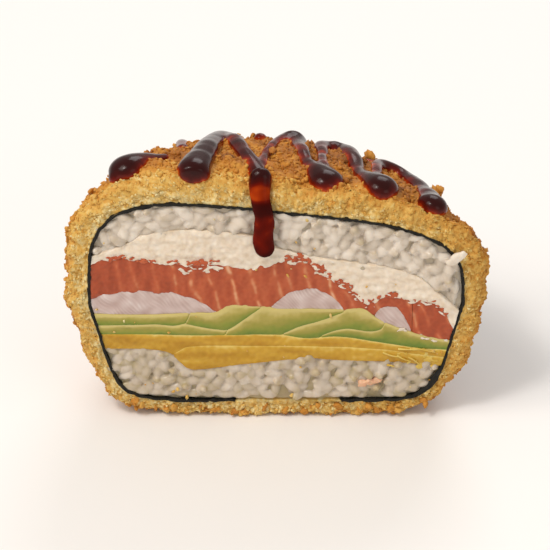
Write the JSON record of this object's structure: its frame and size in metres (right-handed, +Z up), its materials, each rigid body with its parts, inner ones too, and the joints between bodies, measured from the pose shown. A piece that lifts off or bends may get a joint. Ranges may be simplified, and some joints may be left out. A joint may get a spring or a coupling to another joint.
{
  "type": "sushi burger",
  "caption": "Half of a panko-fried sushi burger, cut to show rice, cream cheese, salmon, shrimp, avocado and mango inside nori, with dark glaze over the crust.",
  "frame": {"origin": "on the flat resting face, midway across it and a little behind the cut face", "axes": "+X along the cut face, +Z up, and the cut face looks along -Y"},
  "size_m": [0.1048, 0.056, 0.0731],
  "materials": {
    "crust": "matte",
    "sauce": "gloss",
    "nori": "satin",
    "rice": "satin",
    "cheese": "satin",
    "salmon": "gloss",
    "shrimp": "satin",
    "avocado": "satin",
    "mango": "satin"
  },
  "bodies": {
    "root": {"crust": "crust", "nori": "nori", "rice_upper": "rice", "rice_lower": "rice", "loose_grain": "rice", "cream_cheese": "cheese", "salmon_slab": "salmon", "salmon_strip": "salmon", "salmon_end": "salmon", "shrimp_1": "shrimp", "shrimp_2": "shrimp", "shrimp_3": "shrimp", "avocado_slice_1": "avocado", "avocado_slice_2": "avocado", "avocado_slice_3": "avocado", "avocado_slice_4": "avocado", "avocado_slice_5": "avocado", "avocado_slice_6": "avocado", "mango_slice_1": "mango", "mango_slice_2": "mango"}
  },
  "joints": []
}
